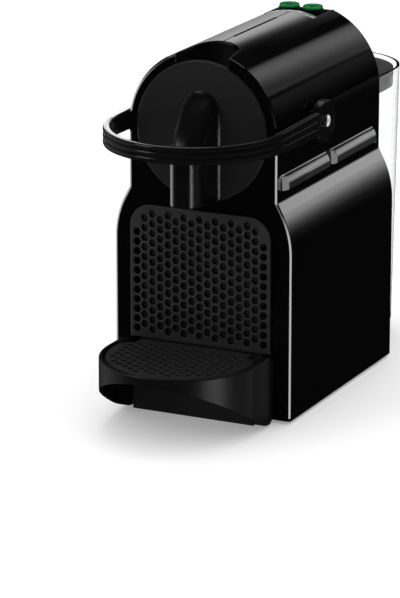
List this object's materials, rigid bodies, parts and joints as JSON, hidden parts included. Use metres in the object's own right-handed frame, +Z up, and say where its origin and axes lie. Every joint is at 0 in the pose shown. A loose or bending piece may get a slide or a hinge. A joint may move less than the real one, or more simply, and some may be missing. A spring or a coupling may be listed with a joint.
{
  "type": "pod coffee machine",
  "caption": "Slim pod coffee machine with a lifting front lever, top capsule slot, folding cup tray, slide-out drip unit and a clear water tank at the back.",
  "frame": {"origin": "on the table under the middle of the machine's box", "axes": "+Z up, the front faces -Y, +X to the right seen from the front"},
  "size_m": [0.12, 0.321, 0.2311],
  "materials": {
    "gloss_black": "high gloss",
    "satin_black": "satin",
    "lever_black": "satin",
    "panel_grey": "matte",
    "skirting_grey": "matte",
    "lid_grey": "satin",
    "inner_black": "matte",
    "clear_tank": "clear plastic",
    "chrome": "polished",
    "silver": "satin",
    "green_light": "lit",
    "rubber": "matte",
    "seal": "matte",
    "steel": "brushed",
    "heater": "cast",
    "pump_body": "satin",
    "board": "satin",
    "hose": "soft"
  },
  "bodies": {
    "housing": {"right_shell": "gloss_black", "left_shell": "gloss_black", "capsule_lining": "satin_black", "front_disc": "satin_black", "coffee_spout": "satin_black", "spout_nozzle": "inner_black", "base_plate": "inner_black", "rubber_feet": "rubber", "rear_panel": "gloss_black", "rear_screws": "steel", "cable_gland": "inner_black", "bulkhead": "inner_black", "bay_rails": "inner_black", "vent_bars": "gloss_black", "trim_strip": "silver", "button_plate": "gloss_black", "control_board": "board", "button_switches": "inner_black", "lever_bushes": "steel", "brew_head": "inner_black", "extraction_plate": "steel", "right_brew_plate": "inner_black", "left_brew_plate": "inner_black", "brew_rear_plate": "inner_black", "guide_rods": "steel", "feed_tube": "steel", "tank_socket": "inner_black", "socket_seal": "seal", "water_pump": "pump_body", "pump_mounts": "rubber", "pump_bracket": "inner_black", "thermoblock": "heater", "thermostat": "inner_black", "flow_meter": "inner_black", "water_hoses": "hose"},
    "lever": {"lever_loop": "lever_black", "pivot_caps": "chrome", "right_crank": "steel", "left_crank": "steel"},
    "cage": {"capsule_cage": "inner_black", "cage_seal": "seal", "piercing_blades": "steel", "cage_carriage": "inner_black", "cage_inlet": "steel"},
    "right_key": {"right_button": "satin_black", "right_button_ring": "green_light"},
    "left_key": {"left_button": "satin_black", "left_button_ring": "green_light"},
    "drip_unit": {"drip_base": "inner_black", "base_skirting": "skirting_grey", "capsule_container": "inner_black", "honeycomb_panel": "panel_grey"},
    "tray": {"cup_tray": "satin_black", "drip_plate": "panel_grey", "tray_pins": "steel"},
    "tank": {"water_tank": "clear_tank", "tank_valve": "inner_black", "lid_pin": "steel"},
    "lid": {"tank_lid": "lid_grey", "lid_tab": "inner_black"}
  },
  "joints": [
    {"name": "lever_lift", "type": "hinge", "parent": "housing", "child": "lever", "pos_m": [0, -0.0225, 0.1795], "axis": [-1, 0, 0], "range_deg": [0, 92]},
    {"name": "cage_slide", "type": "slide", "parent": "housing", "child": "cage", "axis": [0, 1, 0], "range_m": [0, 0.03]},
    {"name": "right_key_press", "type": "slide", "parent": "housing", "child": "right_key", "axis": [0, 0, -1], "range_m": [0, 0.0015], "stiffness_N_per_m": 400, "springref_m": -0.0015},
    {"name": "left_key_press", "type": "slide", "parent": "housing", "child": "left_key", "axis": [0, 0, -1], "range_m": [0, 0.0015], "stiffness_N_per_m": 400, "springref_m": -0.0015},
    {"name": "unit_slide", "type": "slide", "parent": "housing", "child": "drip_unit", "axis": [0, -1, 0], "range_m": [0, 0.15]},
    {"name": "tray_fold", "type": "hinge", "parent": "drip_unit", "child": "tray", "pos_m": [0, -0.0925, 0.0375], "axis": [-1, 0, 0], "range_deg": [0, 88]},
    {"name": "tank_lift", "type": "slide", "parent": "housing", "child": "tank", "axis": [0, 0, 1], "range_m": [0, 0.06]},
    {"name": "lid_hinge", "type": "hinge", "parent": "tank", "child": "lid", "pos_m": [0, 0.0875, 0.178], "axis": [1, 0, 0], "range_deg": [0, 80]}
  ],
  "couplings": [
    {"joint": "cage_slide", "follows": "lever_lift", "m_per_rad": 0.018683}
  ]
}
